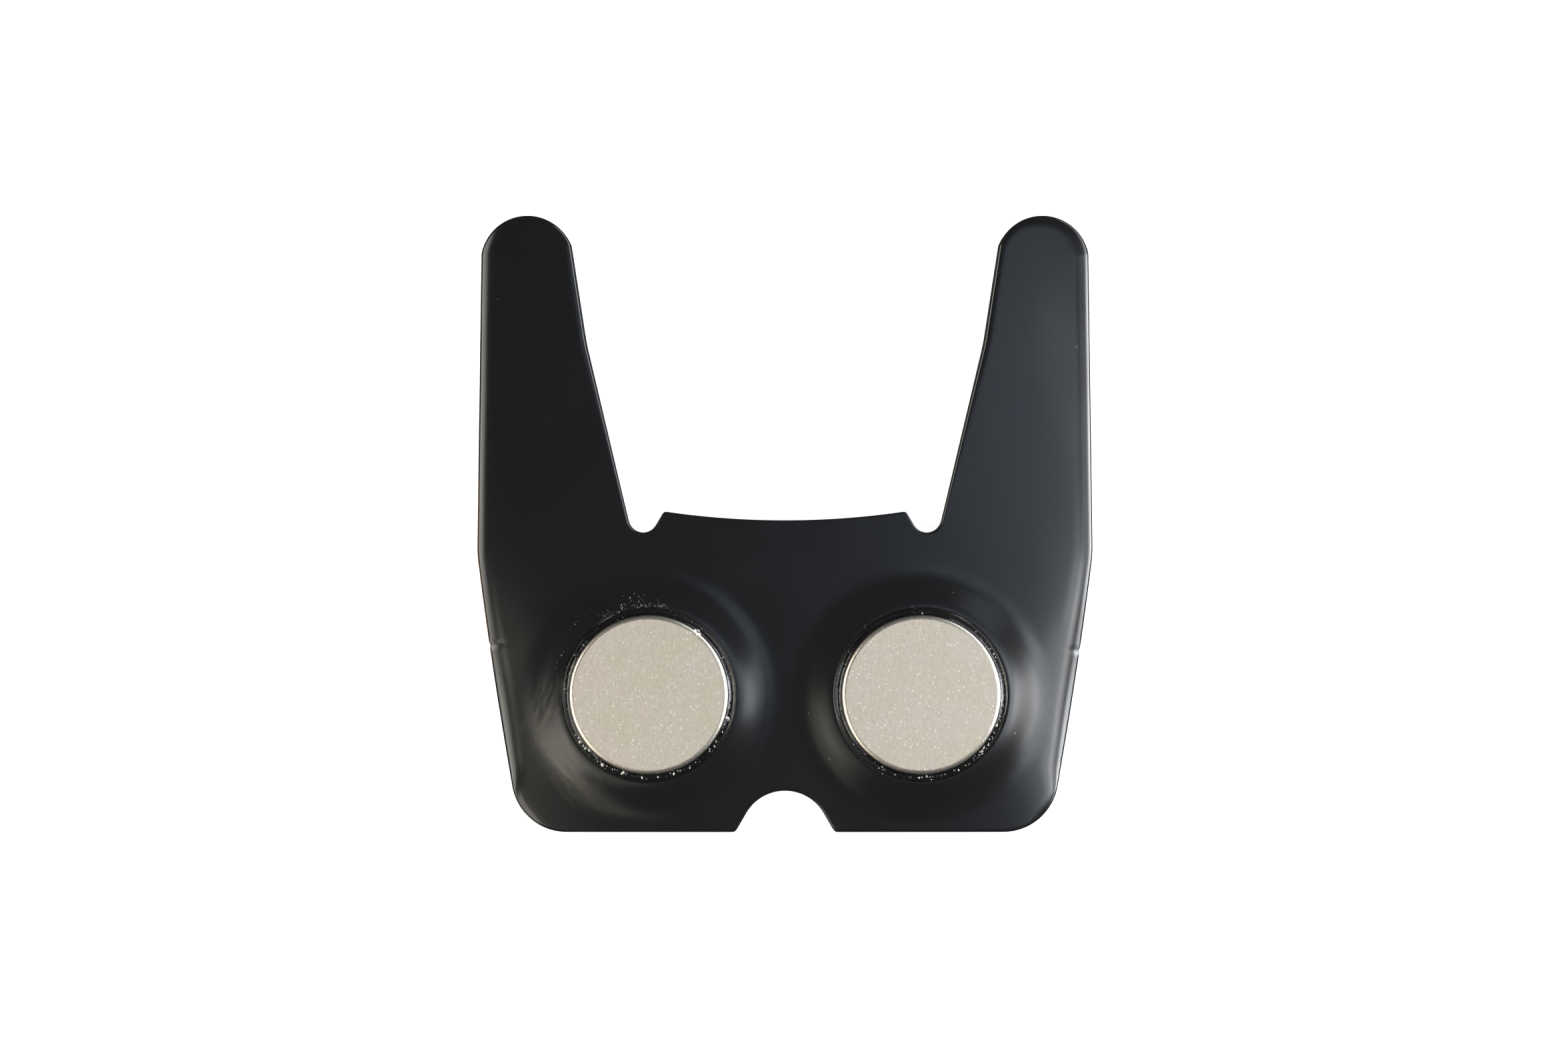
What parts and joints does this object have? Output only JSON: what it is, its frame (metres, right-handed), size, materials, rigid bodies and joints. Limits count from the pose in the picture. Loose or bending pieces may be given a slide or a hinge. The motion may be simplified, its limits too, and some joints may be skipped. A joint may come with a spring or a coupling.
{
  "type": "divot repair tool",
  "caption": "Compact flat divot repair tool: a drawn black sheet-steel fork with blunt prongs and disc magnets bonded into ring bosses.",
  "frame": {"origin": "on the resting surface, under the middle of the tool's bounding box", "axes": "+Y from the notched handle end towards the prong tips, +Z out of the magnet faces, +X to the right seen from above with the prongs pointing away"},
  "size_m": [0.0388, 0.0388, 0.0025],
  "materials": {
    "black_paint": "satin black paint on sheet steel",
    "nickel_plate": "fine-grained matte nickel plate with bright rounded edges",
    "black_adhesive": "glossy cured black adhesive"
  },
  "bodies": {
    "root": {"fork_plate": "black_paint", "left_magnet": "nickel_plate", "right_magnet": "nickel_plate", "left_adhesive": "black_adhesive", "right_adhesive": "black_adhesive"}
  },
  "joints": []
}
